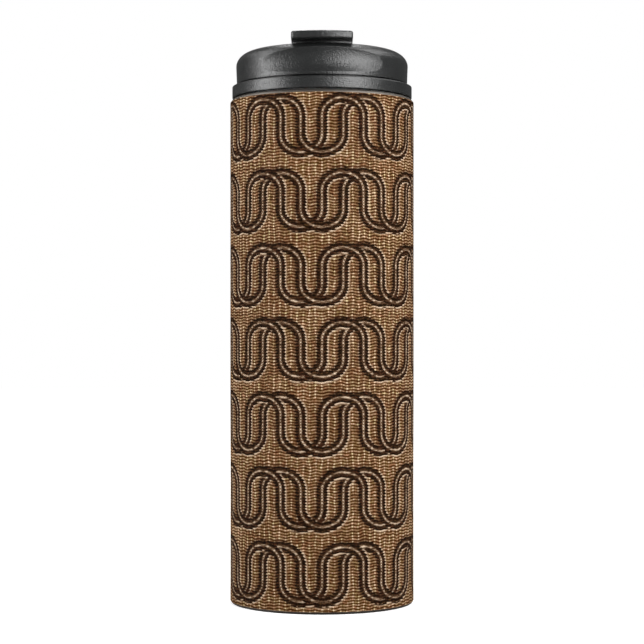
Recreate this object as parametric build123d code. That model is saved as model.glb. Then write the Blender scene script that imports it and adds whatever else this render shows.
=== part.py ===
"""Vacuum-insulated tumbler with a screw-in plug lid and a flip lever.

Units are millimetres. The origin is the centre of the base, +Z points up and the lever's lip
points towards -Y. The vessel is a double-wall steel shell with a printed coating. The lid is a
hollow threaded plug with a snap-on cover, and a lever on a steel pin carries the stopper.
"""
from build123d import *
import math
import os

# ---------------------------------------------------------------- vessel
BODY_RADIUS = 35.0          # outside of the printed coating
WRAP_THICKNESS = 0.2
SHEET = 0.5                 # steel sheet of both walls
SHOULDER_RADIUS = 2.0       # coating radius at the top edge
SHOULDER_START = 189.9
WRAP_BOTTOM = 1.0
WRAP_TOP = 190.4
FOOT_RADIUS = 1.0
BASE_SHEET = 0.6
BASE_WELD_HEIGHT = 3.0
BASE_RECESS_RADIUS = 31.6
BASE_RECESS_DEPTH = 1.8
LINER_RADIUS = 31.2         # inside of the inner wall
LINER_FLOOR = 8.5
LINER_WELD_HEIGHT = 14.0
LINER_CORNER = 4.5
DIMPLE_RADIUS = 5.0
DIMPLE_TOP = 4.4
PORT_RADIUS = 0.75
FOIL_THICKNESS = 0.1
FOIL_BOTTOM = 16.0
FOIL_TOP = 178.0
GETTER_OFFSET = 16.0
GETTER_RADIUS = 2.5

# ---------------------------------------------------------------- screw thread (right hand)
THREAD_LEAD = 8.0
THREAD_STARTS = 2
FEMALE_TIP_RADIUS = 30.1
MALE_TIP_RADIUS = 30.9
FEMALE_WIDTHS = (2.1, 1.1)  # root and tip width of the ridge in the mouth
MALE_WIDTHS = (2.3, 1.2)
FEMALE_SPAN = (184.0, 189.0)
MALE_SPAN = (181.8, 188.6)
THREAD_ROOT_BITE = 0.15     # how far a ridge is sunk into its wall

# ---------------------------------------------------------------- lid
COLLAR_RADIUS = 34.25
COLLAR_BOTTOM = 192.0
COLLAR_TOP = 196.4
COLLAR_WALL = 2.0
PLUG_RADIUS = 29.6
PLUG_BOTTOM = 179.0
PLUG_WALL = 1.8
UPSTAND_TOP = 199.3
LEDGE_RADIUS = 25.9
LEDGE_BOTTOM = 195.6
LEDGE_TOP = 197.0
COVER_FOOT_RADIUS = 32.5
COVER_RADIUS = 32.75
COVER_GAP = 0.75            # shadow line between collar and cover
COVER_WALL = 2.0
STEP_INSET = 0.6            # how far the seating step stands in from the cover's wall
CORNER_HEIGHT = 204.1       # where the rounded top edge starts
CORNER_RUN = 6.9
CORNER_RISE = 5.4
LID_TOP = CORNER_HEIGHT + CORNER_RISE
DISH_RADIUS = 25.0
DISH_FLOOR = 204.5
DISH_WALL = 1.8
SKIRT_RADIUS = 27.6
SKIRT_BOTTOM = 198.3
SCOOP_RING = 48.4           # thumb scoop: a ring laid across the front of the cover
SCOOP_TUBE = 10.0
SCOOP_CENTRE = (0, 5.8, 190.3)
SCOOP_TILT = -16.5          # degrees about X, so the ring rises towards the front
CLEARANCE = 0.2

# ---------------------------------------------------------------- drinking passage
SPOUT_Y = -16.5
SPOUT_RADIUS = 4.6
SPOUT_TUBE_WALL = 1.3
SPOUT_SEAT_RADIUS = 5.6
VENT_Y = -6.0
VENT_RADIUS = 1.2
VENT_TUBE_WALL = 1.4
TUBE_TOP = 201.2

# ---------------------------------------------------------------- lever
HINGE_Y = 2.0
HINGE_Z = 210.2
PIN_RADIUS = 1.25
PIN_CLEARANCE = 0.05
KNUCKLE_RADIUS = 3.2
KNUCKLE_HALF = 7.3
CHEEK_RADIUS = 3.0
CHEEK_INNER = 7.6
CHEEK_OUTER = 11.1
LEVER_WIDTH = 22.8
LEVER_TOP = 213.4
LEVER_BOTTOM = 210.5
LEVER_FRONT_RADIUS = 32.0
LEVER_CORNER = 1.2          # roundings of the lip: in plan, on top and underneath
LEVER_TOP_ROUNDING = 0.8
LEVER_LOW_ROUNDING = 0.6
LEVER_BACK_Y = -1.6
NECK_WIDTH = 22.0
NECK_SETBACK = 7.0
NECK_BOTTOM = 209.75
LEVER_SKIN = 1.4
POST_RADIUS = 3.6
VENT_POST_RADIUS = 1.8
POST_BOTTOM = 205.6


# ---------------------------------------------------------------- shape helpers
def turned(*corners):
    """Revolve a closed outline about Z; each corner is (radius, height) or (radius, height, rounding)."""
    face = make_face(Polyline(*[corner[:2] for corner in corners], close=True))
    for corner in corners:
        if len(corner) == 3:
            face = fillet(face.vertices().sort_by_distance((corner[0], corner[1], 0))[0], corner[2])
    return revolve(Plane.XZ * face, Axis.Z)


def disc(radius, bottom, top, x=0.0, y=0.0):
    """Upright solid cylinder between two heights."""
    height = top - bottom
    return Pos(x, y, bottom + height / 2) * Cylinder(radius, height)


def ring(inner, outer, bottom, top, x=0.0, y=0.0):
    """Upright tube between two heights."""
    return disc(outer, bottom, top, x, y) - disc(inner, bottom - 1, top + 1, x, y)


def block(x_half, y_low, y_high, z_low, z_high):
    """Box centred on X."""
    centre = Pos(0, (y_low + y_high) / 2, (z_low + z_high) / 2)
    return centre * Box(2 * x_half, y_high - y_low, z_high - z_low)


def cross_rod(radius, half_length, y, z):
    """Solid cylinder lying along X."""
    return Pos(0, y, z) * Rot(0, 90, 0) * Cylinder(radius, 2 * half_length)


def thread_ridge(root_radius, tip_radius, widths, span, phase):
    """One helical ridge with a trapezoid section, as long as its span of heights."""
    low, high = span
    section = [
        (root_radius, -widths[0] / 2),
        (tip_radius, -widths[1] / 2),
        (tip_radius, widths[1] / 2),
        (root_radius, widths[0] / 2),
    ]
    rails = [
        Edge.make_helix(THREAD_LEAD, high - low, radius, center=(0, 0, low + offset))
        for radius, offset in section
    ]
    flanks = [Face.make_surface_from_curves(rails[i], rails[(i + 1) % 4]) for i in range(4)]
    caps = [Face(Wire.make_polygon([rail @ end for rail in rails])) for end in (0, 1)]
    return Rot(0, 0, phase) * Solid(Shell(flanks + caps))


def thread_ridges(root_radius, tip_radius, widths, span, first_phase):
    """Every start of one thread, evenly spaced around the axis."""
    step = 360 / THREAD_STARTS
    return [
        thread_ridge(root_radius, tip_radius, widths, span, first_phase + start * step)
        for start in range(THREAD_STARTS)
    ]


# ---------------------------------------------------------------- vessel parts
def shoulder_envelope(radius):
    """Solid outline of the outer wall, with its rounded shoulder, at a given outside radius."""
    centre_radius = BODY_RADIUS - SHOULDER_RADIUS
    rounding = radius - centre_radius
    top = SHOULDER_START + rounding
    return turned((0, BASE_WELD_HEIGHT), (radius, BASE_WELD_HEIGHT), (radius, top, rounding), (0, top))


def outer_tube():
    """Outer steel wall: a straight tube whose top turns in to meet the inner wall."""
    shell = shoulder_envelope(BODY_RADIUS - WRAP_THICKNESS)
    shell -= shoulder_envelope(BODY_RADIUS - WRAP_THICKNESS - SHEET)
    return shell - disc(LINER_RADIUS + SHEET, 0, LID_TOP)


def outer_bottom():
    """Pressed base pan with a foot ring, a recess and a pumped dimple with its port."""
    outside = BODY_RADIUS - WRAP_THICKNESS
    recess_top = BASE_RECESS_DEPTH + BASE_SHEET
    return turned(
        (outside, BASE_WELD_HEIGHT),
        (outside, 0, FOOT_RADIUS),
        (BASE_RECESS_RADIUS, 0, 0.4),
        (BASE_RECESS_RADIUS - 0.7, BASE_RECESS_DEPTH, 0.4),
        (DIMPLE_RADIUS + 1.5, BASE_RECESS_DEPTH, 0.5),
        (DIMPLE_RADIUS, DIMPLE_TOP, 0.5),
        (PORT_RADIUS, DIMPLE_TOP),
        (PORT_RADIUS, DIMPLE_TOP + BASE_SHEET),
        (DIMPLE_RADIUS + 0.4, DIMPLE_TOP + BASE_SHEET, 0.8),
        (DIMPLE_RADIUS + 1.9, recess_top, 0.5),
        (BASE_RECESS_RADIUS - 1.2, recess_top, 0.6),
        (BASE_RECESS_RADIUS - 0.5, BASE_SHEET, 0.4),
        (outside - BASE_SHEET, BASE_SHEET, FOOT_RADIUS / 2),
        (outside - BASE_SHEET, BASE_WELD_HEIGHT),
    )


def base_cover():
    """Stamped steel disc that hides the vacuum port, with one raised step."""
    top = BASE_RECESS_DEPTH
    edge = BASE_RECESS_RADIUS - 1.6
    step = 22.0
    return turned(
        (0, top - 0.9),
        (step - 0.6, top - 0.9, 0.4),
        (step, top - 0.5, 0.4),
        (edge, top - 0.5, 0.2),
        (edge, top),
        (step - 0.3, top),
        (step - 0.9, top - 0.4),
        (0, top - 0.4),
    )


def vacuum_seal():
    """Glass solder bead melted over the pumping port."""
    return turned((0, DIMPLE_TOP - 1.2), (3.6, DIMPLE_TOP - 1.2, 0.7), (3.9, DIMPLE_TOP), (0, DIMPLE_TOP))


def printed_wrap():
    """Printed coating over the outer wall, up to the bare steel band under the lid."""
    coat = shoulder_envelope(BODY_RADIUS) - shoulder_envelope(BODY_RADIUS - WRAP_THICKNESS)
    coat &= disc(BODY_RADIUS + 1, BASE_WELD_HEIGHT, WRAP_TOP)
    inner = BODY_RADIUS - WRAP_THICKNESS
    return coat + ring(inner, BODY_RADIUS, WRAP_BOTTOM, BASE_WELD_HEIGHT)


def inner_tube():
    """Inner steel wall with the two-start thread rolled into its mouth."""
    rim = SHOULDER_START + SHOULDER_RADIUS - WRAP_THICKNESS
    tube = ring(LINER_RADIUS, LINER_RADIUS + SHEET, LINER_WELD_HEIGHT, rim)
    root = LINER_RADIUS + THREAD_ROOT_BITE
    for ridge in thread_ridges(root, FEMALE_TIP_RADIUS, FEMALE_WIDTHS, FEMALE_SPAN, 0):
        tube += ridge
    return tube


def liner_bottom():
    """Drawn floor of the inner vessel, welded to the inner wall."""
    outside = LINER_RADIUS + SHEET
    return turned(
        (0, LINER_FLOOR),
        (outside, LINER_FLOOR, LINER_CORNER + SHEET),
        (outside, LINER_WELD_HEIGHT),
        (LINER_RADIUS, LINER_WELD_HEIGHT),
        (LINER_RADIUS, LINER_FLOOR + SHEET, LINER_CORNER),
        (0, LINER_FLOOR + SHEET),
    )


def radiation_foil():
    """Copper foil sleeve around the inner wall, inside the vacuum."""
    inside = LINER_RADIUS + SHEET
    return ring(inside, inside + FOIL_THICKNESS, FOIL_BOTTOM, FOIL_TOP)


def getter_holder():
    """Small steel bridge spot-welded under the liner floor, with a socket for the pellet."""
    strip = Pos(GETTER_OFFSET, 0, LINER_FLOOR - 0.2) * Box(14.0, 4.0, 0.4)
    cup = ring(GETTER_RADIUS, GETTER_RADIUS + 0.3, LINER_FLOOR - 2.0, LINER_FLOOR - 0.4, GETTER_OFFSET)
    return strip + cup


def getter_pellet():
    """Gas-absorbing pellet held in the bridge's socket."""
    return disc(GETTER_RADIUS, LINER_FLOOR - 1.9, LINER_FLOOR - 0.4, GETTER_OFFSET)


# ---------------------------------------------------------------- lid parts
def lid_seal():
    """Silicone ring between the plug's shoulder and the mouth's rim."""
    rim = SHOULDER_START + SHOULDER_RADIUS - WRAP_THICKNESS
    inside = PLUG_RADIUS + CLEARANCE
    outside = COLLAR_RADIUS - COLLAR_WALL - CLEARANCE
    top = COLLAR_TOP - PLUG_WALL - 0.1
    lip = 1.2
    return turned(
        (inside, top - 1.5),
        (inside, top),
        (outside, top, 0.3),
        (outside, rim + 0.1, 0.4),
        (outside - lip, rim + 0.1, 0.4),
        (outside - lip, top - 1.5, 0.3),
    )


def lid_base():
    """Collar and hollow threaded plug in one moulding, with the drinking and vent tubes."""
    bore = PLUG_RADIUS - PLUG_WALL
    plate_bottom = COLLAR_TOP - PLUG_WALL
    body = turned(
        (0, PLUG_BOTTOM),
        (PLUG_RADIUS, PLUG_BOTTOM, 1.2),
        (PLUG_RADIUS, plate_bottom),
        (COLLAR_RADIUS - COLLAR_WALL, plate_bottom),
        (COLLAR_RADIUS - COLLAR_WALL, COLLAR_BOTTOM),
        (COLLAR_RADIUS, COLLAR_BOTTOM, 0.3),
        (COLLAR_RADIUS, COLLAR_TOP, 0.3),
        (PLUG_RADIUS - CLEARANCE, COLLAR_TOP),
        (PLUG_RADIUS - CLEARANCE, UPSTAND_TOP, 0.4),
        (bore, UPSTAND_TOP, 0.4),
        (bore, LEDGE_TOP),
        (LEDGE_RADIUS, LEDGE_TOP),
        (LEDGE_RADIUS, LEDGE_BOTTOM),
        (bore, LEDGE_BOTTOM),
        (bore, PLUG_BOTTOM + PLUG_WALL, 0.8),
        (0, PLUG_BOTTOM + PLUG_WALL),
    )
    body += disc(SPOUT_RADIUS + SPOUT_TUBE_WALL, PLUG_BOTTOM, TUBE_TOP, y=SPOUT_Y)
    body += disc(VENT_RADIUS + VENT_TUBE_WALL, PLUG_BOTTOM, TUBE_TOP, y=VENT_Y)
    body -= disc(SPOUT_RADIUS, PLUG_BOTTOM - 1, TUBE_TOP + 1, y=SPOUT_Y)
    body -= disc(VENT_RADIUS, PLUG_BOTTOM - 1, TUBE_TOP + 1, y=VENT_Y)
    root = PLUG_RADIUS - THREAD_ROOT_BITE
    # Half a pitch from the mouth's thread, so both flanks run clear.
    turn_to_low = 360 * (MALE_SPAN[0] - FEMALE_SPAN[0]) / THREAD_LEAD
    phase = turn_to_low + 180 / THREAD_STARTS
    for ridge in thread_ridges(root, MALE_TIP_RADIUS, MALE_WIDTHS, MALE_SPAN, phase):
        body += ridge
    return body


def lid_foam():
    """Foam disc inside the plug, around both tubes."""
    bore = PLUG_RADIUS - PLUG_WALL
    foam = disc(bore - CLEARANCE, PLUG_BOTTOM + PLUG_WALL + CLEARANCE, LEDGE_BOTTOM - CLEARANCE)
    foam -= disc(SPOUT_RADIUS + SPOUT_TUBE_WALL + CLEARANCE, 0, LID_TOP, y=SPOUT_Y)
    foam -= disc(VENT_RADIUS + VENT_TUBE_WALL + CLEARANCE, 0, LID_TOP, y=VENT_Y)
    return fillet(foam.edges().group_by(Axis.Z)[0].sort_by(SortBy.LENGTH)[-1], 0.8)


def cover_gasket():
    """Silicone ring between the plug's ledge and the cover's skirt."""
    return ring(LEDGE_RADIUS, PLUG_RADIUS - PLUG_WALL - 0.1, LEDGE_TOP, SKIRT_BOTTOM)


def channel_gasket():
    """Silicone plate that seals both tubes against the cover."""
    bottom_of_cover = DISH_FLOOR - DISH_WALL
    outline = make_hull((Pos(0, SPOUT_Y) * Circle(7.4)).edges() + (Pos(0, VENT_Y) * Circle(4.2)).edges())
    plate = extrude(Pos(0, 0, TUBE_TOP) * outline, bottom_of_cover - TUBE_TOP)
    plate -= disc(SPOUT_RADIUS, 0, LID_TOP, y=SPOUT_Y)
    return plate - disc(VENT_RADIUS, 0, LID_TOP, y=VENT_Y)


def scoop(tube_radius):
    """Ring that hollows out the cover's front under the lip."""
    return Pos(*SCOOP_CENTRE) * Rot(SCOOP_TILT, 0, 0) * Torus(SCOOP_RING, tube_radius)


def cover_dome(inset, bottom):
    """Turned outline of the cover, moved inwards by an even wall."""
    shoulder = LID_TOP - CORNER_RISE
    land = COVER_RADIUS - CORNER_RUN
    foot = (COVER_FOOT_RADIUS - inset, bottom)
    side = (COVER_RADIUS - inset, shoulder)
    edge = EllipticalCenterArc((land, shoulder), CORNER_RUN - inset, CORNER_RISE - inset, arc_size=90)
    top = (0, LID_TOP - inset)
    lines = [Line((0, bottom), foot), Line(foot, side), edge, Line(edge @ 1, top), Line(top, (0, bottom))]
    return revolve(Plane.XZ * make_face(Curve() + lines), Axis.Z)


def lid_cover():
    """Upper tier of the lid: rounded shell, dished top, hinge cheeks and both holes."""
    floor_bottom = DISH_FLOOR - DISH_WALL
    foot = COLLAR_TOP + COVER_GAP
    dish_outside = DISH_RADIUS + DISH_WALL
    cavity = cover_dome(COVER_WALL, 0) - scoop(SCOOP_TUBE + COVER_WALL)
    cavity -= disc(dish_outside, floor_bottom, LID_TOP)
    cover = cover_dome(0, foot) - scoop(SCOOP_TUBE) - cavity
    dish = disc(DISH_RADIUS, DISH_FLOOR, LID_TOP + 1)
    dish = fillet(dish.edges().group_by(Axis.Z)[0], 1.5)
    cover -= dish
    rim = cover.edges().filter_by(GeomType.CIRCLE).filter_by(
        lambda edge: abs(edge.radius - DISH_RADIUS) < 1e-3 and abs(edge.center().Z - LID_TOP) < 1e-3
    )
    cover = fillet(rim, 0.6)
    cover += ring(SKIRT_RADIUS - 1.6, SKIRT_RADIUS, SKIRT_BOTTOM, floor_bottom + 0.2)
    # Inner step that seats the cover on the collar and leaves the shadow line outside.
    inside = COVER_FOOT_RADIUS - COVER_WALL
    cover += ring(inside - STEP_INSET, inside + STEP_INSET, COLLAR_TOP, foot + STEP_INSET)
    for side in (-1, 1):
        cover += hinge_cheek(side)
    seat = Cone(SPOUT_RADIUS, SPOUT_SEAT_RADIUS, DISH_WALL)
    cover -= Pos(0, SPOUT_Y, DISH_FLOOR - DISH_WALL / 2) * seat
    cover -= disc(VENT_RADIUS, floor_bottom - 1, DISH_FLOOR + 1, y=VENT_Y)
    return cover - cross_rod(PIN_RADIUS, CHEEK_OUTER + 1, HINGE_Y, HINGE_Z)


def hinge_cheek(side):
    """One lug that holds an end of the pin, standing in the dish."""
    middle = side * (CHEEK_INNER + CHEEK_OUTER) / 2
    width = CHEEK_OUTER - CHEEK_INNER
    base = DISH_FLOOR - DISH_WALL / 2
    lug = Pos(middle, HINGE_Y, (base + HINGE_Z) / 2) * Box(width, 2 * CHEEK_RADIUS, HINGE_Z - base)
    return lug + Pos(middle, HINGE_Y, HINGE_Z) * Rot(0, 90, 0) * Cylinder(CHEEK_RADIUS, width)


def hinge_pin():
    """Steel pin through both cheeks and the lever's knuckle."""
    pin = cross_rod(PIN_RADIUS, CHEEK_OUTER - 0.2, HINGE_Y, HINGE_Z)
    return chamfer(pin.edges().filter_by(GeomType.CIRCLE), 0.25)


def lever_plan(half_width, front_radius, back_y):
    """Plan outline of the lever: straight sides and a front that follows the lid's edge."""
    strip = Pos(0, (back_y - LEVER_FRONT_RADIUS - 5) / 2) * Rectangle(
        2 * half_width, LEVER_FRONT_RADIUS + 5 + back_y
    )
    return strip & Circle(front_radius)


def lever():
    """Flip lever with an overhanging lip, a hinge knuckle and posts for both stoppers."""
    half = LEVER_WIDTH / 2
    plan = lever_plan(half, LEVER_FRONT_RADIUS, LEVER_BACK_Y)
    front_corners = plan.vertices().group_by(Axis.Y)[0]
    plan = fillet(front_corners, LEVER_CORNER)
    plate = extrude(Pos(0, 0, LEVER_BOTTOM) * plan, LEVER_TOP - LEVER_BOTTOM)
    for face, rounding in ((-1, LEVER_TOP_ROUNDING), (0, LEVER_LOW_ROUNDING)):
        rim = plate.faces().sort_by(Axis.Z)[face].edges()
        plate = fillet(rim.sort_by(Axis.Y)[:-1], rounding)
    neck_plan = lever_plan(NECK_WIDTH / 2, LEVER_FRONT_RADIUS - NECK_SETBACK, LEVER_BACK_Y)
    plate += extrude(Pos(0, 0, NECK_BOTTOM) * neck_plan, LEVER_BOTTOM + LEVER_LOW_ROUNDING - NECK_BOTTOM)
    plate += cross_rod(KNUCKLE_RADIUS, KNUCKLE_HALF, HINGE_Y, HINGE_Z)
    plate += block(KNUCKLE_HALF, LEVER_BACK_Y - 1.5, HINGE_Y, NECK_BOTTOM, LEVER_TOP)
    pocket_plan = lever_plan(
        NECK_WIDTH / 2 - LEVER_SKIN, LEVER_FRONT_RADIUS - NECK_SETBACK - LEVER_SKIN, LEVER_BACK_Y - 1.6
    )
    plate -= extrude(Pos(0, 0, NECK_BOTTOM - 1) * pocket_plan, LEVER_TOP - 2.0 - NECK_BOTTOM + 1)
    plate += disc(POST_RADIUS, POST_BOTTOM, LEVER_TOP - 1, y=SPOUT_Y)
    plate += disc(VENT_POST_RADIUS, POST_BOTTOM, LEVER_TOP - 1, y=VENT_Y)
    return plate - cross_rod(PIN_RADIUS + PIN_CLEARANCE, KNUCKLE_HALF + 1, HINGE_Y, HINGE_Z)


def spout_stopper():
    """Silicone plug on the lever's post, with a flange and a cone for the spout's seat."""
    top = 208.0
    flange_top = 205.9
    flange_bottom = DISH_FLOOR + 0.15
    cone_radius = SPOUT_SEAT_RADIUS - CLEARANCE
    taper = (SPOUT_SEAT_RADIUS - SPOUT_RADIUS) / DISH_WALL
    tip = DISH_FLOOR - 1.5
    bell = turned(
        (0, tip),
        (cone_radius - 1.5 * taper, tip, 0.4),
        (cone_radius, DISH_FLOOR),
        (cone_radius, flange_bottom),
        (6.8, flange_bottom, 0.4),
        (6.8, flange_top, 0.4),
        (5.2, flange_top, 0.6),
        (4.9, top, 0.5),
        (POST_RADIUS, top),
        (POST_RADIUS, POST_BOTTOM),
        (0, POST_BOTTOM),
    )
    return Pos(0, SPOUT_Y, 0) * bell


def vent_stopper():
    """Silicone pad on the lever's small post, pressed over the vent hole."""
    pad_bottom = DISH_FLOOR + 0.15
    pad = turned(
        (0, pad_bottom),
        (3.0, pad_bottom, 0.3),
        (3.0, 207.4, 0.5),
        (VENT_POST_RADIUS, 207.4),
        (VENT_POST_RADIUS, POST_BOTTOM),
        (0, POST_BOTTOM),
    )
    return Pos(0, VENT_Y, 0) * pad


PARTS = [
    outer_tube,
    outer_bottom,
    base_cover,
    vacuum_seal,
    printed_wrap,
    inner_tube,
    liner_bottom,
    radiation_foil,
    getter_holder,
    getter_pellet,
    lid_seal,
    lid_base,
    lid_foam,
    cover_gasket,
    channel_gasket,
    lid_cover,
    hinge_pin,
    lever,
    spout_stopper,
    vent_stopper,
]

os.makedirs("parts", exist_ok=True)
for make in PARTS:
    export_step(make(), f"parts/{make.__name__}.step")
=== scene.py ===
"""Looks for the vacuum tumbler: materials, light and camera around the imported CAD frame.

Everything is in metres. Surface patterns are worked out in millimetres from object coordinates.
"""
import math

import bpy
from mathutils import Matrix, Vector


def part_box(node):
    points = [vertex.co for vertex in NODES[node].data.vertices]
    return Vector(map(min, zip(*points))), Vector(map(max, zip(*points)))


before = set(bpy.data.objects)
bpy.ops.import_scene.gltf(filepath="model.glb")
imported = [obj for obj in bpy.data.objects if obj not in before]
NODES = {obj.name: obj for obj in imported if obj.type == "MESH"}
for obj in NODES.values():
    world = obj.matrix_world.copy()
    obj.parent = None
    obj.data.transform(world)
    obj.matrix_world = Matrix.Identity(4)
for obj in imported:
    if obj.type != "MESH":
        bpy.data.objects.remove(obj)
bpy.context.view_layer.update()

# ---------------------------------------------------------------- sizes taken from the frame
MM = 1000.0
WRAP_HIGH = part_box("printed_wrap")[1]
BODY_RADIUS = WRAP_HIGH.x * MM
TURN = 2 * math.pi

# ---------------------------------------------------------------- printed pattern, millimetres
BARS_AROUND = 28                                     # upright cords around the body
BAR_PITCH = TURN * BODY_RADIUS / BARS_AROUND
BAND_PITCH = 27.3                                    # seven bands of cord, one above the other
TOP_BAND_CENTRE = WRAP_HIGH.z * MM - 11.95
BAND_HALF = 9.95                                     # cord centreline, from the band's middle
ARCH_RISE = 6.5                                      # height of the round part of a wave
CORD_HALF = 1.95                                     # half width of a double cord
CORE_HALF = 0.4                                      # half width of the pale strand along its middle
RIM_WIDTH = 0.55                                     # pale line beside the cord, on its lit side
SHADE_WIDTH = 1.4                                    # dark soft edge on its other side
CORD_BLUR = 0.15                                     # half width of the blur at each printed edge
CORE_BLUR = 0.2
ROW_PITCH = 1.10                                     # woven rows and columns behind the cords
COLUMNS_AROUND = 96
COLUMN_PITCH = TURN * BODY_RADIUS / COLUMNS_AROUND
WEAVE_RELIEF = 0.05                                  # depth of the printed relief

INK_STRENGTH = 0.49                                  # share of a display colour that the ink reflects

# ---------------------------------------------------------------- light
FILL = 0.12                                          # strength of the surround as a light
GLOW_REACH = (100.0, 700.0)                          # the floor's glow grows over this distance, mm
GLOW = (0.4, 1.0)                                    # its strength near the flask and far away
FLOOR_RADIUS = 3.0
FLOOR_SIDES = 48
# Name, azimuth in degrees, distance, height, width, length, power in watts, height aimed at.
# Azimuth 0 is the camera's side and grows towards +X. Lengths are in metres.
LIGHTS = [
    ("left_light", -74, 0.8, 0.32, 0.34, 0.7, 7.0, 0.2),
    ("right_light", 41, 0.85, 0.42, 0.6, 0.85, 11.5, 0.2),
    ("upper_left_light", -104, 0.6, 0.78, 0.4, 0.3, 1.5, 0.2),
    ("upper_right_light", 92, 0.55, 0.82, 0.55, 0.35, 2.9, 0.2),
    ("back_light", 180, 0.6, 1.3, 0.5, 0.5, 8.0, 0.12),
]

# ---------------------------------------------------------------- camera
CAMERA_DISTANCE = 0.7097
CAMERA_HEIGHT = 0.10084
SENSOR_WIDTH = 36.0                                  # millimetres, like the focal length
FOCAL_LENGTH = 103.75
CAMERA_SHIFT = 0.0245                                # upwards, in frame widths


def srgb(red, green, blue):
    """A colour given as 0 to 255 display values, in the linear values that shaders use."""
    def linear(value):
        value /= 255
        return value / 12.92 if value <= 0.04045 else ((value + 0.055) / 1.055) ** 2.4
    return (linear(red), linear(green), linear(blue), 1.0)


def ink(red, green, blue):
    """A printed colour: how it looks under the studio lights, scaled down to its own reflectance."""
    return tuple(channel * INK_STRENGTH for channel in srgb(red, green, blue)[:3]) + (1.0,)


# ---------------------------------------------------------------- shader arithmetic
class Field:
    """A number that varies over a surface. Plain arithmetic on it adds Math nodes."""

    def __init__(self, tree, socket):
        self.tree = tree
        self.socket = socket

    def calc(self, operation, *inputs):
        node = self.tree.nodes.new("ShaderNodeMath")
        node.operation = operation
        for slot, value in zip(node.inputs, inputs):
            connect(self.tree, value, slot)
        return Field(self.tree, node.outputs[0])

    def __add__(self, other):
        return self.calc("ADD", self, other)

    def __sub__(self, other):
        return self.calc("SUBTRACT", self, other)

    def __rsub__(self, other):
        return self.calc("SUBTRACT", other, self)

    def __mul__(self, other):
        return self.calc("MULTIPLY", self, other)

    def __truediv__(self, other):
        return self.calc("DIVIDE", self, other)

    def __abs__(self):
        return self.calc("ABSOLUTE", self)

    def at_least(self, other):
        return self.calc("MAXIMUM", self, other)

    def above(self, limit):
        return self.calc("GREATER_THAN", self, limit)

    def wrapped(self, half):
        return self.calc("WRAP", self, half, -half)

    def cosine(self):
        return self.calc("COSINE", self)

    def root(self):
        return self.calc("SQRT", self)

    def ramp(self, start, end, low=0.0, high=1.0):
        """Smooth step: low before start, high after end. Start may be larger than end."""
        if start > end:
            start, end, low, high = end, start, high, low
        node = self.tree.nodes.new("ShaderNodeMapRange")
        node.interpolation_type = "SMOOTHSTEP"
        connect(self.tree, self, node.inputs["Value"])
        for name, value in (("From Min", start), ("From Max", end), ("To Min", low), ("To Max", high)):
            node.inputs[name].default_value = value
        return Field(self.tree, node.outputs[0])


def connect(tree, value, slot):
    """Link a Field or a socket to a slot, or set the slot to a plain value."""
    if isinstance(value, Field):
        value = value.socket
    if isinstance(value, bpy.types.NodeSocket):
        tree.links.new(value, slot)
    else:
        slot.default_value = value


def blend_colour(tree, factor, first, second, mode="MIX"):
    """Mix two colours by a field."""
    node = tree.nodes.new("ShaderNodeMix")
    node.data_type = "RGBA"
    node.blend_type = mode
    connect(tree, factor, node.inputs["Factor"])
    connect(tree, first, node.inputs[6])
    connect(tree, second, node.inputs[7])
    return node.outputs[2]


def colour_ramp(tree, factor, stops):
    """Colour ramp from (position, colour) pairs."""
    node = tree.nodes.new("ShaderNodeValToRGB")
    elements = node.color_ramp.elements
    while len(elements) < len(stops):
        elements.new(0.5)
    for element, (position, colour) in zip(elements, stops):
        element.position = position
        element.color = colour
    connect(tree, factor, node.inputs["Fac"])
    return node.outputs["Color"]


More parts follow.
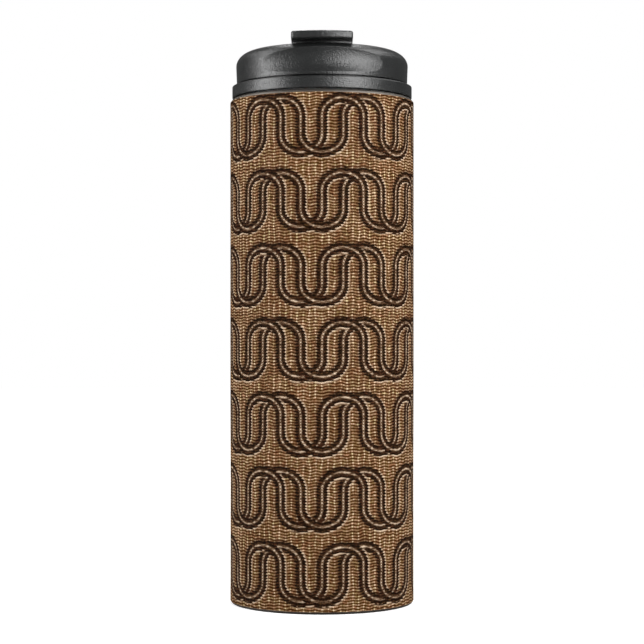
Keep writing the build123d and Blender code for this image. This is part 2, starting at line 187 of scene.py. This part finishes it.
class Surface:
    """One material, with object coordinates in millimetres and helpers for its noise and bump."""

    def __init__(self, name, **settings):
        self.material = bpy.data.materials.new(name)
        self.material.use_nodes = True
        self.tree = self.material.node_tree
        self.shader = self.tree.nodes["Principled BSDF"]
        self.place = self.tree.nodes.new("ShaderNodeTexCoord").outputs["Object"]
        split = self.tree.nodes.new("ShaderNodeSeparateXYZ")
        self.tree.links.new(self.place, split.inputs[0])
        self.x, self.y, self.z = (Field(self.tree, out) * MM for out in split.outputs)
        self.normal = None
        self.set(**settings)

    def set(self, **settings):
        """Set shader inputs; underscores stand for spaces."""
        for name, value in settings.items():
            label = name.replace("_", " ").title().replace("Ior", "IOR")
            connect(self.tree, value, self.shader.inputs[label])

    def two_tone(self, factor, dark, light, span=(0.3, 0.7)):
        """Base colour that runs from dark to light while the factor crosses the span."""
        low, high = span
        self.set(base_color=colour_ramp(self.tree, factor, [(low, srgb(*dark)), (high, srgb(*light))]))

    def angle(self):
        """Angle around the axis: 0 at the front (-Y), growing towards +X."""
        return self.x.calc("ARCTAN2", self.x, self.y * -1.0)

    def radius(self):
        return (self.x * self.x + self.y * self.y).root()

    def noise(self, scale, detail=2.0, roughness=0.5, vector=None):
        """Noise between 0 and 1; scale is in cells per millimetre unless a vector is given."""
        node = self.tree.nodes.new("ShaderNodeTexNoise")
        node.inputs["Scale"].default_value = scale if vector else scale * MM
        node.inputs["Detail"].default_value = detail
        node.inputs["Roughness"].default_value = roughness
        self.tree.links.new(vector or self.place, node.inputs["Vector"])
        return Field(self.tree, node.outputs["Fac"])

    def vector(self, x, y, z):
        node = self.tree.nodes.new("ShaderNodeCombineXYZ")
        for slot, value in zip(node.inputs, (x, y, z)):
            connect(self.tree, value, slot)
        return node.outputs[0]

    def round_edges(self, millimetres):
        """Shade sharp edges as if they had this radius. Comes before any bump."""
        node = self.tree.nodes.new("ShaderNodeBevel")
        node.inputs["Radius"].default_value = millimetres / MM
        self.normal = node.outputs[0]

    def bump(self, height, millimetres, strength=1.0):
        """Add relief: height runs from 0 to 1 and stands for this many millimetres."""
        node = self.tree.nodes.new("ShaderNodeBump")
        node.inputs["Distance"].default_value = millimetres / MM
        node.inputs["Strength"].default_value = strength
        connect(self.tree, height, node.inputs["Height"])
        if self.normal is not None:
            self.tree.links.new(self.normal, node.inputs["Normal"])
        self.normal = node.outputs[0]
        self.tree.links.new(self.normal, self.shader.inputs["Normal"])


# ---------------------------------------------------------------- printed coating
def cord_distance(x, height):
    """Distance from an arched cord's centreline, negative inside the arch, and its outward X and Z."""
    rise = (height - (BAND_HALF - ARCH_RISE)).at_least(0.0)
    across = x / BAR_PITCH
    up = rise / ARCH_RISE
    reach = (across * across + up * up).root()
    slope_x = across / BAR_PITCH
    slope_z = up / ARCH_RISE
    steepness = (slope_x * slope_x + slope_z * slope_z).root().at_least(1e-4)
    return reach * (reach - 1.0) / steepness, slope_x / steepness, slope_z / steepness


def printed_weave():
    """Brown woven ground with interlaced double cords, printed on a matt coating."""
    skin = Surface("printed_weave", specular_ior_level=0.02)
    tree = skin.tree
    along = skin.angle() * BODY_RADIUS

    # Hand-woven unevenness: rows drift a little, columns lean, and both come and go.
    drift = (skin.noise(0.11, 3.0) - 0.5) * 1.5
    sway = (skin.noise(0.2, 3.0) - 0.5) * 1.9
    presence = skin.noise(0.3, 2.0).ramp(0.35, 0.65)
    column = (along + sway) / COLUMN_PITCH
    column_wave = (column * TURN).cosine()
    half_wave = (column * (TURN / 2)).cosine()
    row = (skin.z + drift + half_wave * 0.17) / ROW_PITCH
    row_wave = (row * TURN).cosine()

    # Strand brightness: light on the row, dark in the gap, lifted where a column strand bridges the gap.
    strand = row_wave * 0.5 + 0.5
    bridge = column_wave.ramp(0.5, 1.0) * (presence * 0.75 + 0.25)
    pit = column_wave.ramp(0.35, -0.1) * column_wave.ramp(-0.8, -0.2)
    woven = strand * (bridge * 0.25 + 0.68) + bridge * 0.2 - pit * (1.0 - strand) * 0.18
    fleck = skin.noise(0.8, 3.0, 0.6)
    speck = skin.noise(1.5, 1.0)
    patch = skin.noise(0.16, 2.0)
    tone = woven + (fleck - 0.5) * 0.75 + (speck - 0.5) * 0.7 + (patch - 0.5) * 0.35
    ground = colour_ramp(tree, tone, [
        (0.0, ink(60, 30, 6)),
        (0.25, ink(106, 71, 38)),
        (0.48, ink(131, 97, 66)),
        (0.72, ink(170, 136, 104)),
        (1.0, ink(255, 226, 194)),
    ])
    tint = colour_ramp(tree, skin.noise(0.6, 2.0), [
        (0.3, srgb(255, 222, 204)),
        (0.48, srgb(255, 255, 255)),
        (0.7, srgb(238, 250, 208)),
    ])
    ground = blend_colour(tree, 0.65, ground, tint, "MULTIPLY")

    # Bands of cord: two interlaced waves, each an arch upwards and then an arch downwards. The wave that
    # passes under in the upper half of a band is drawn last, so passes over, in the lower half.
    band = (skin.z - TOP_BAND_CENTRE).wrapped(BAND_PITCH / 2)
    lower = 0.0 - band
    is_lower = lower.above(0.0)
    height = abs(band)
    period = 2 * BAR_PITCH
    under_x = (along - is_lower * BAR_PITCH - 2 * BAR_PITCH).wrapped(period)
    over_x = (along - is_lower * (3 * BAR_PITCH) - BAR_PITCH).wrapped(period)
    facing = is_lower * -2.0 + 1.0

    jag = row_wave * 0.22 + (fleck - 0.5) * 0.6
    thread = skin.noise(0.5, 3.0, 0.6)
    core_colour = colour_ramp(tree, strand * 0.6 + (fleck + speck) * 0.3 + (thread - 0.5) * 1.2 + 0.05, [
        (0.2, ink(50, 29, 15)),
        (0.6, ink(134, 104, 78)),
        (1.0, ink(236, 211, 184)),
    ])
    edge_colour = colour_ramp(tree, strand * 0.45 + (fleck - 0.5) * 0.9 + (speck - 0.5) * 0.8 + 0.3, [
        (0.2, ink(20, 9, 2)),
        (0.6, ink(46, 28, 15)),
        (0.9, ink(88, 58, 38)),
    ])
    edge_colour = blend_colour(tree, 0.9, edge_colour, tint, "MULTIPLY")
    rim_colour = colour_ramp(tree, strand * 0.7 + fleck * 0.4 + (thread - 0.5) * 0.8, [
        (0.2, ink(118, 86, 58)),
        (0.9, ink(230, 203, 175)),
    ])
    colour = ground
    relief = woven * 0.35
    for x in (under_x, over_x):
        distance, out_x, out_z = cord_distance(x, height)
        side = distance.calc("SIGN", distance)
        lit = (out_x * 0.9 - out_z * facing * 0.5) * side
        off = abs(distance) + jag
        rim_half = RIM_WIDTH / 2
        rim = abs(off - (CORD_HALF + rim_half)).ramp(rim_half + CORD_BLUR, rim_half - CORD_BLUR)
        shade = off.ramp(CORD_HALF + SHADE_WIDTH, CORD_HALF + 0.1) * lit.ramp(0.1, -0.5)
        cord = off.ramp(CORD_HALF + CORD_BLUR, CORD_HALF - CORD_BLUR)
        core = off.ramp(CORE_HALF + CORE_BLUR, CORE_HALF - CORE_BLUR)
        colour = blend_colour(tree, shade * 0.6, colour, ink(72, 40, 22))
        colour = blend_colour(tree, rim * lit.ramp(0.0, 0.5), colour, rim_colour)
        colour = blend_colour(tree, cord, colour, edge_colour)
        colour = blend_colour(tree, core * cord, colour, core_colour)
        relief = relief + cord * 0.35 + core * 0.3
    skin.set(base_color=colour)
    skin.bump(relief, WEAVE_RELIEF, 0.6)
    skin.set(roughness=(fleck - 0.5) * 0.12 + 0.65)
    return skin.material


# ---------------------------------------------------------------- other materials
def satin_plastic():
    """Black moulded plastic with a fine spark-eroded grain and faint handling marks."""
    skin = Surface("satin_plastic", specular_ior_level=0.7)
    grain = skin.noise(1.8, 1.5, 0.6)
    mottle = skin.noise(0.12, 3.0, 0.6)
    smear = skin.noise(0.03, 2.0)
    skin.two_tone(mottle * 0.5 + grain * 0.5, (17, 18, 18), (25, 26, 26))
    skin.set(roughness=grain * 0.12 + mottle * 0.08 + smear * 0.06 + 0.21)
    skin.round_edges(0.5)
    skin.bump(grain, 0.17, 1.0)
    skin.bump(mottle, 0.03, 0.3)
    return skin.material


def spun_steel(name, shade, roughness):
    """Stainless steel with fine lathe lines around the axis."""
    skin = Surface(name, metallic=1.0)
    lines = skin.noise(1.0, 3.0, 0.7, skin.vector(skin.radius() * 9.0, skin.angle() * 1.5, skin.z * 9.0))
    cloud = skin.noise(0.08, 2.0)
    groove_shade = [int(channel * 0.82) for channel in shade]
    skin.two_tone(lines * 0.6 + cloud * 0.4, groove_shade, shade, (0.25, 0.75))
    skin.set(roughness=lines * 0.16 + cloud * 0.06 + roughness)
    skin.bump(lines, 0.012, 0.5)
    return skin.material


def silicone(name, dark, light):
    """Soft matt rubber with a faint dusty bloom."""
    skin = Surface(name, specular_ior_level=0.4, subsurface_weight=0.15, subsurface_scale=0.002)
    bloom = skin.noise(0.5, 4.0, 0.65)
    grain = skin.noise(4.0, 1.0)
    skin.two_tone(bloom, dark, light)
    skin.set(roughness=bloom * 0.15 + 0.45)
    skin.bump(grain, 0.02, 0.4)
    return skin.material


def copper_foil():
    """Thin crinkled copper."""
    skin = Surface("copper_foil", metallic=1.0)
    crease = skin.noise(0.25, 5.0, 0.7)
    skin.two_tone(crease, (176, 98, 66), (224, 148, 110))
    skin.set(roughness=crease * 0.25 + 0.2)
    skin.bump(crease, 0.3, 0.6)
    return skin.material


def rigid_foam():
    """Closed-cell insulation foam."""
    skin = Surface("rigid_foam", roughness=0.9)
    cells = skin.tree.nodes.new("ShaderNodeTexVoronoi")
    cells.inputs["Scale"].default_value = 1.6 * MM
    skin.tree.links.new(skin.place, cells.inputs["Vector"])
    depth = Field(skin.tree, cells.outputs["Distance"])
    # Painted shade: each cell's colour darkens towards its middle, where the bump below sinks it into a
    # pit.
    skin.two_tone(depth, (196, 186, 160), (244, 240, 224), (0.1, 0.7))
    skin.bump(depth, 0.15, 0.7)
    return skin.material


def solder_glass():
    """Dark glassy bead with small bubbles."""
    skin = Surface("solder_glass", roughness=0.12, ior=1.6)
    bubbles = skin.noise(1.5, 3.0, 0.6)
    skin.two_tone(bubbles, (40, 52, 44), (96, 112, 98), (0.35, 0.7))
    skin.bump(bubbles, 0.05, 0.4)
    return skin.material


def sintered_metal():
    """Grainy grey metal of the getter and its holder."""
    skin = Surface("sintered_metal", metallic=0.9)
    grain = skin.noise(2.5, 4.0, 0.7)
    skin.two_tone(grain, (92, 92, 96), (150, 150, 152))
    skin.set(roughness=grain * 0.2 + 0.5)
    skin.bump(grain, 0.04, 0.6)
    return skin.material


MATERIALS = {
    printed_weave(): ["printed_wrap"],
    satin_plastic(): ["lid_base", "lid_cover", "lever"],
    spun_steel("outer_steel", (120, 114, 108), 0.42): ["outer_tube", "outer_bottom", "base_cover"],
    spun_steel("liner_steel", (196, 196, 197), 0.2): ["inner_tube", "liner_bottom"],
    spun_steel("pin_steel", (205, 205, 206), 0.14): ["hinge_pin"],
    silicone("grey_silicone", (120, 120, 118), (158, 158, 156)): [
        "lid_seal", "cover_gasket", "channel_gasket",
    ],
    silicone("black_silicone", (30, 30, 31), (46, 46, 47)): ["spout_stopper", "vent_stopper"],
    copper_foil(): ["radiation_foil"],
    rigid_foam(): ["lid_foam"],
    solder_glass(): ["vacuum_seal"],
    sintered_metal(): ["getter_holder", "getter_pellet"],
}
for material, names in MATERIALS.items():
    for name in names:
        slots = NODES[name].data.materials
        slots.clear()
        slots.append(material)


# ---------------------------------------------------------------- stage, light and camera
def floor():
    """Large white floor. It glows a little more with distance, so it stays pale away from the lights."""
    mesh = bpy.data.meshes.new("floor")
    angles = [TURN * side / FLOOR_SIDES for side in reversed(range(FLOOR_SIDES))]
    points = [(FLOOR_RADIUS * math.sin(angle), FLOOR_RADIUS * math.cos(angle), 0.0) for angle in angles]
    mesh.from_pydata(points, [], [list(range(FLOOR_SIDES))])
    ground = bpy.data.objects.new("floor", mesh)
    bpy.context.scene.collection.objects.link(ground)
    paper = Surface("paper", roughness=0.9, specular_ior_level=0.1)
    fibre = paper.noise(0.02, 3.0)
    paper.two_tone(fibre, (246, 246, 246), (250, 250, 250))
    paper.set(emission_color=(1.0, 1.0, 1.0, 1.0))
    paper.set(emission_strength=paper.radius().ramp(*GLOW_REACH, *GLOW))
    mesh.materials.append(paper.material)
    ground.visible_glossy = False                    # the gloss of the lid shows the softboxes only


def softbox(name, azimuth, distance, height, width, length, power, aim_height):
    """Rectangular area light, placed around the flask and aimed at a point on its axis."""
    angle = math.radians(azimuth)
    light = bpy.data.lights.new(name, "AREA")
    light.shape = "RECTANGLE"
    light.size = width
    light.size_y = length
    light.energy = power
    lamp = bpy.data.objects.new(name, light)
    lamp.visible_camera = False
    bpy.context.scene.collection.objects.link(lamp)
    lamp.location = (distance * math.sin(angle), -distance * math.cos(angle), height)
    aim = -lamp.location
    aim.z += aim_height
    lamp.rotation_euler = aim.to_track_quat("-Z", "Y").to_euler()


def studio_world():
    """Surround that the camera sees as white and that adds only a little light."""
    world = bpy.data.worlds.new("studio")
    world.use_nodes = True
    tree = world.node_tree
    background = tree.nodes["Background"]
    background.inputs["Color"].default_value = (1.0, 1.0, 1.0, 1.0)
    seen = Field(tree, tree.nodes.new("ShaderNodeLightPath").outputs["Is Camera Ray"])
    connect(tree, seen * (1.0 - FILL) + FILL, background.inputs["Strength"])
    bpy.context.scene.world = world


def photo_camera():
    """Level camera in front of the flask, a little under half its height."""
    camera = bpy.data.cameras.new("camera")
    camera.sensor_width = SENSOR_WIDTH
    camera.lens = FOCAL_LENGTH
    camera.shift_y = CAMERA_SHIFT
    rig = bpy.data.objects.new("camera", camera)
    bpy.context.scene.collection.objects.link(rig)
    rig.location = (0.0, -CAMERA_DISTANCE, CAMERA_HEIGHT)
    rig.rotation_euler = (math.radians(90), 0.0, 0.0)
    bpy.context.scene.camera = rig


floor()
studio_world()
photo_camera()
for light in LIGHTS:
    softbox(*light)
bpy.context.scene.view_settings.view_transform = "Standard"
